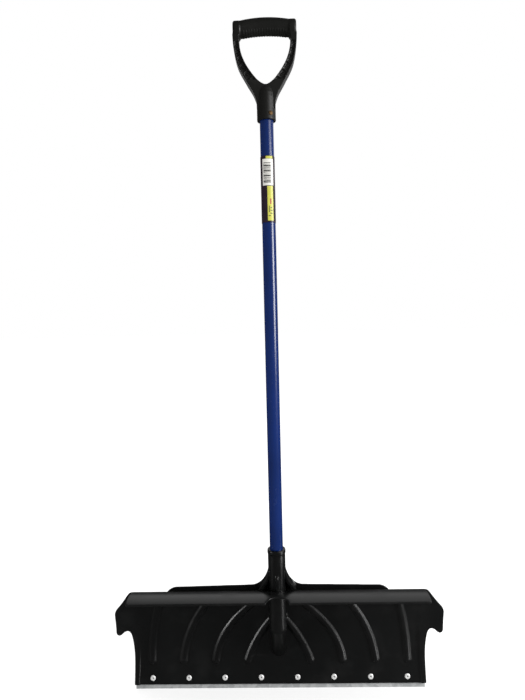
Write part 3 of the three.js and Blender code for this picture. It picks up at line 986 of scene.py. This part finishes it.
def armWebs(outer, inner, side, low, high):
    # zigzag webs in one pocket
    webs, inset = [], grip["webInset"]
    rows = np.arange(*grip["webs"])
    for i, z in enumerate(rows[:-1]):
        for a, b in ((z, rows[i + 1]), (rows[i + 1], z)):
            if i % 2 == (a < b):
                first = side * (widthAt(inner, a) + inset), a
                last = side * (widthAt(outer, b) - inset), b
                webs.append(plate((first, last), grip["webThick"], low, high))
    return webs


def gripFrame():
    outer = splined(grip["outer"], 8)
    inner = splined(grip["inner"], 8)
    half, collar, foot = grip["depth"] / 2, grip["collar"], grip["neckFoot"]
    x, z = grip["shoulder"]
    shape = [(-x, z), (x, z), *outer, (collar, foot), (-collar, foot), *mirroredBack(outer)]
    hole = splined([*grip["inner"], (0, grip["openingBottom"]), *mirroredBack(grip["inner"])], 8)
    body = cut(prism(shape, acrossY, -half, half), prism(hole, acrossY, -half - 9, half + 9))
    wall, depth, sink = grip["wallAlong"], grip["recess"], grip["webSink"]
    webs = []
    for side in (-1, 1):
        heights = np.linspace(*grip["pocket"])
        pocket = [(side * (widthAt(outer, z) - wall), z) for z in heights]
        pocket += [(side * (widthAt(inner, z) + wall), z) for z in heights[::-1]]
        for low, high in ((-half - 2, -half + depth), (half - depth, half + 2)):
            body = cut(body, prism(pocket, acrossY, low, high))
        webs += armWebs(outer, inner, side, -half + sink, -half + depth + 1)
        webs += armWebs(outer, inner, side, half - depth - 1, half - sink)
    return [body, *webs]


def barCentre(u):
    # height of the arched crossbar's axis, with u from -1 to 1 along it
    return grip["barEnd"] + grip["barArch"] * (1 - u * u)


def crossbar():
    bar = bmesh.new()
    rings, steps = [], grip["barSteps"]
    for u in np.linspace(-1, 1, 33):
        x, z = grip["barHalf"] * u, barCentre(u)
        radius = grip["barRadius"] + grip["barSwell"] * (1 - u * u)
        rings.append([
            bar.verts.new((x, radius * math.cos(a), z + radius * math.sin(a)))
            for a in np.linspace(0, 2 * math.pi, steps, endpoint=False)
        ])
    for low, high in zip(rings, rings[1:]):
        for j in range(steps):
            k = (j + 1) % steps
            bar.faces.new((low[j], low[k], high[k], high[j]))
    bar.faces.new(rings[0])
    bar.faces.new(rings[-1][::-1])
    return bar


def fingerRibs():
    ribs = []
    pitch, half = grip["fingerPitch"], grip["fingerHalf"]
    arc = [math.radians(a) for a in range(*grip["fingerArc"])]
    outer, inner = grip["barRadius"] + grip["fingerRise"], grip["barRadius"] - 3
    for i in range(-grip["fingers"], grip["fingers"] + 1):
        centre = barCentre(i * pitch / grip["barHalf"])
        rib = [(outer * math.cos(a), centre + outer * math.sin(a)) for a in arc]
        rib += [(inner * math.cos(a), centre + inner * math.sin(a)) for a in reversed(arc)]
        ribs.append(prism(rib, acrossX, i * pitch - half, i * pitch + half))
    return ribs


def cheeks():
    # round ends of the crossbar
    made = []
    for side in (-1, 1):
        cheek = spun(grip["cheek"], 72)
        bmesh.ops.rotate(cheek, verts=cheek.verts, matrix=Matrix.Rotation(side * math.pi / 2, 3, "Y"))
        bmesh.ops.translate(cheek, verts=cheek.verts, vec=(0, 0, grip["barEnd"]))
        made.append(cheek)
    return made


def makeGrip():
    low, top, collar, bore = (grip[k] for k in ("collarBottom", "collarTop", "collar", "bore"))
    sleeve = spun([
        (0, low), (collar - 0.5, low), (collar + 0.1, low + 0.8), (collar + 0.1, top), *grip["neck"],
    ], 96)
    bm = moulded(merged([*gripFrame(), crossbar(), *fingerRibs(), *cheeks(), sleeve]), grip["voxel"], 4)
    bm = cut(bm, spun([(0, low - 5), (bore, low - 5), (bore, top), (0, top)], 96))
    toMetres(bm)
    pieceFrom(bm, "dGrip", [finishes["grip"]], ["d_grip"], 48)


makeGrip()
print("grip made")


# A screw holds the grip on the tube, and another holds the tube in the blade.
screw = {
    "point": ((0, -9), (0.8, -9), (1.9, -7)),
    "shank": 1.9,
    "seat": -0.9,            # the head's underside, below the round surface
    # radius and height of the head
    "head": (
        (4.0, 0), (4.2, 0.2), (4.2, 1.1), (3.9, 1.75), (3.2, 2.25), (2.1, 2.55), (1.0, 2.68), (0, 2.7),
    ),
    "slot": (2.3, 0.42, 1.5, 4),   # half length, half width, floor and top
    "slotTurn": 0.35,
    "steps": 40,
    # name, CAD node, finish, slot, height, degrees round the handle, distance from its axis
    "places": (
        ("gripScrew", "grip_screw", "brass", "screw_brass", 1119.0, 28.0, 17.3),
        ("socketScrew", "socket_screw", "zinc", "screw_steel", 284.0, 180.0, 16.8),
    ),
}


def acrossZ(a, b, c):
    return a, b, c


def makeScrews():
    seat = screw["seat"]
    long, wide, floor, top = screw["slot"]
    for name, node, finish, slot, height, turn, radius in screw["places"]:
        head = [(r, seat + h) for r, h in screw["head"]]
        bm = spun([*screw["point"], (screw["shank"], seat), *head], screw["steps"])
        for angle in (screw["slotTurn"], screw["slotTurn"] + math.pi / 2):
            outline = [(-long, -wide), (long, -wide), (long, wide), (-long, wide)]
            arm = prism(outline, acrossZ, seat + floor, seat + top)
            bmesh.ops.rotate(arm, verts=arm.verts, matrix=Matrix.Rotation(angle, 3, "Z"))
            bm = cut(bm, arm)
        place = (
            Matrix.Translation((0, 0, height))
            @ Matrix.Rotation(math.radians(turn), 4, "Z")
            @ Matrix.Translation((0, -radius, 0))
            @ Matrix.Rotation(math.pi / 2, 4, "X")
        )
        bmesh.ops.transform(bm, matrix=place, verts=bm.verts)
        toMetres(bm)
        pieceFrom(bm, name, [finishes[finish]], [node], 30)


makeScrews()
print("screws made")


# The label film goes round the tube, and the sticker lies on its upper half.
film = {
    "low": 923.0,
    "high": 1044.0,
    "inner": 13.0,
    "thick": 0.25,
    "seam": 8.0,             # degrees on each side
    # printed areas, each over the one before: left and right in degrees, then low and high
    "yellow": ((-13, 43, 1038.5, 1043.0), (-6, 43, 926.0, 989.0)),
    "ink": (
        (0, 20, 934, 935.5), (4, 10, 941, 953), (14, 34, 938.5, 940.0), (16, 36, 944, 945.5),
        (16, 30, 949, 950.5),
    ),
    "red": ((14, 26, 956, 966),),
}
sticker = {
    "low": 990.0,
    "high": 1038.0,
    "inner": 13.55,
    "thick": 0.2,
    "from": -42.0,
    "to": 46.0,
    "inked": (-35.0, 25.0),
    "margins": (4.5, 7),     # plain paper below and above the bars
    "bars": (1.0, 2.4, 0.8, 1.2, 0.9, 2.6, 0.9, 1.3, 2.2, 0.8, 1.1),
    "spaces": (0.9, 1.0, 1.6, 0.8, 1.1, 1.2, 2.4, 0.9, 1.0, 1.1, 0.9),
    "lift": (0.12, 9),       # how far the side edges stand off, and over how many degrees
}


def wrapped(angles, heights, inner, thick, paint, wave):
    # a thin sheet round the tube; paint(angle, height) picks the material of a cell
    def place(a, h, radius):
        radius += wave(a, h)
        return toFrame(radius * math.sin(math.radians(a)), -radius * math.cos(math.radians(a)), h)

    bm = bmesh.new()
    outer, under = (
        [[bm.verts.new(place(a, h, radius)) for a in angles] for h in heights]
        for radius in (inner + thick, inner)
    )
    for i in range(len(heights) - 1):
        for j in range(len(angles) - 1):
            middle = (angles[j] + angles[j + 1]) / 2, (heights[i] + heights[i + 1]) / 2
            ink = paint(*middle)
            for skin, order in ((outer, 1), (under, -1)):
                ring = (skin[i][j], skin[i][j + 1], skin[i + 1][j + 1], skin[i + 1][j])
                bm.faces.new(ring[::order]).material_index = ink if order > 0 else 0
    for i in range(len(heights) - 1):
        for j in (0, len(angles) - 1):
            bm.faces.new((outer[i][j], outer[i + 1][j], under[i + 1][j], under[i][j]))
    for j in range(len(angles) - 1):
        for i in (0, len(heights) - 1):
            bm.faces.new((outer[i][j], outer[i][j + 1], under[i][j + 1], under[i][j]))
    return bm


def stops(low, high, extra, step=4.0):
    # evenly spaced values with chosen edges put in
    made = list(np.arange(low, high, step)) + [high] + [e for e in extra if low < e < high]
    return sorted({round(float(v), 3) for v in made})


def makeFilm():
    inks = ("yellow", "ink", "red")
    areas = [area for ink in inks for area in film[ink]]
    edges = [v for area in areas for v in area[:2]]
    levels = [v for area in areas for v in area[2:]]

    def paint(a, h):
        top = 0
        for number, ink in enumerate(inks, 1):
            if any(l < a < r and b < h < t for l, r, b, t in film[ink]):
                top = number
        return top

    def wave(a, h):
        near = min(h - film["low"], film["high"] - h)
        return 0.05 * math.sin(a * 0.09 + h * 0.11) * min(near / 8, 1) ** 2 * 0.6

    angles = stops(-180 + film["seam"], 180 - film["seam"], edges)
    heights = stops(film["low"], film["high"], levels)
    bm = wrapped(angles, heights, film["inner"], film["thick"], paint, wave)
    paints = [finishes[k] for k in ("film", *inks)]
    pieceFrom(bm, "labelFilm", paints, ["product_label"], 60)


def makeSticker():
    below, above = sticker["margins"]
    bars, h = [], sticker["low"] + below
    while h < sticker["high"] - above:
        index = len(bars) % len(sticker["bars"])
        bars.append((h, h + sticker["bars"][index]))
        h += sticker["bars"][index] + sticker["spaces"][index]
    left, right = sticker["inked"]

    def paint(a, height):
        return 1 if left < a < right and any(b < height < t for b, t in bars) else 0

    def wave(a, height):
        rise, width = sticker["lift"]
        near = min(a - sticker["from"], sticker["to"] - a)
        return rise * max(1 - near / width, 0) ** 2

    angles = stops(sticker["from"], sticker["to"], (left, right))
    heights = stops(sticker["low"], sticker["high"], [v for b in bars for v in b])
    bm = wrapped(angles, heights, sticker["inner"], sticker["thick"], paint, wave)
    paints = [finishes["paper"], finishes["ink"]]
    pieceFrom(bm, "barSticker", paints, ["barcode_label"], 60)


makeFilm()
makeSticker()
print("labels made")


# The studio: a pale floor and sky, a big panel behind for the lip, and soft lights from the right.
studio = {
    "reach": 30,
    "drop": 0.0005,          # the floor is just under the strip
    "floor": 0.5,
    "floorGlow": 0.52,       # keeps the floor as pale as the backdrop
    "backdrop": 1.0,         # what the camera sees
    "fill": 1.15,            # what lights matt surfaces
    "shine": 0.05,           # what glossy surfaces reflect
    "lights": (
        # name, from, aimed at, width and height, watts, only on the blade
        ("panelBehind", (0.6, 2.4, 2.5), (0, 0, 0.2), (5.0, 2.8), 36, False),
        ("keyRight", (1.5, -1.3, 1.9), (0, 0, 0.4), (1.0, 1.0), 9, False),
        ("stripRight", (2.1, -1.0, 1.1), (0, 0, 0.6), (0.9, 1.1), 48, False),
        ("lowRight", (1.7, -0.7, -0.45), (0, 0, 0.1), (0.4, 0.5), 5, True),
        ("lowLeft", (-1.7, -0.8, 0.16), (0, 0, 0.1), (0.1, 0.3), 7, True),
    ),
}


def makeGround():
    floor = Finish("studioFloor")
    shade = floor.shade({
        "Base Color": (studio["floor"],) * 3,
        "Roughness": 0.9,
        "Specular IOR Level": 0.1,
        "Emission Color": (1, 1, 1),
        "Emission Strength": studio["floorGlow"],
    })
    bm = bmesh.new()
    bmesh.ops.create_grid(bm, x_segments=1, y_segments=1, size=studio["reach"])
    ground = loose(bm, "studioGround")
    ground.data.materials.append(shade)
    ground.location.z = -studio["drop"]
    ground.visible_glossy = False
    ground.visible_shadow = False


def makeLamps():
    bladeOnly = bpy.data.collections.new("bladeOnly")
    for name in ("bladeSheet", "bladeSocket"):
        bladeOnly.objects.link(bpy.data.objects[name])
    for name, place, aim, size, watts, onBlade in studio["lights"]:
        data = bpy.data.lights.new(name, "AREA")
        data.shape = "RECTANGLE"
        data.size, data.size_y = size
        data.energy = watts
        lamp = bpy.data.objects.new(name, data)
        scene.collection.objects.link(lamp)
        lamp.location = place
        lamp.rotation_euler = (Vector(aim) - Vector(place)).to_track_quat("-Z", "Y").to_euler()
        lamp.visible_camera = False
        if onBlade:
            lamp.light_linking.receiver_collection = bladeOnly


def makeSky():
    # the camera, matt surfaces and glossy surfaces each see their own brightness
    world = bpy.data.worlds.new("studioSky")
    scene.world = world
    world.use_nodes = True
    nodes, links = world.node_tree.nodes, world.node_tree.links
    sky = nodes["Background"]
    sky.inputs["Color"].default_value = (1, 1, 1, 1)
    ray = nodes.new("ShaderNodeLightPath")
    matt, seen = nodes.new("ShaderNodeMix"), nodes.new("ShaderNodeMix")
    matt.inputs[2].default_value, matt.inputs[3].default_value = studio["shine"], studio["fill"]
    seen.inputs[3].default_value = studio["backdrop"]
    links.new(ray.outputs["Is Diffuse Ray"], matt.inputs[0])
    links.new(ray.outputs["Is Camera Ray"], seen.inputs[0])
    links.new(matt.outputs[0], seen.inputs[2])
    links.new(seen.outputs[0], sky.inputs["Strength"])


makeGround()
makeLamps()
makeSky()
scene.view_settings.view_transform = "Standard"
print("studio made")
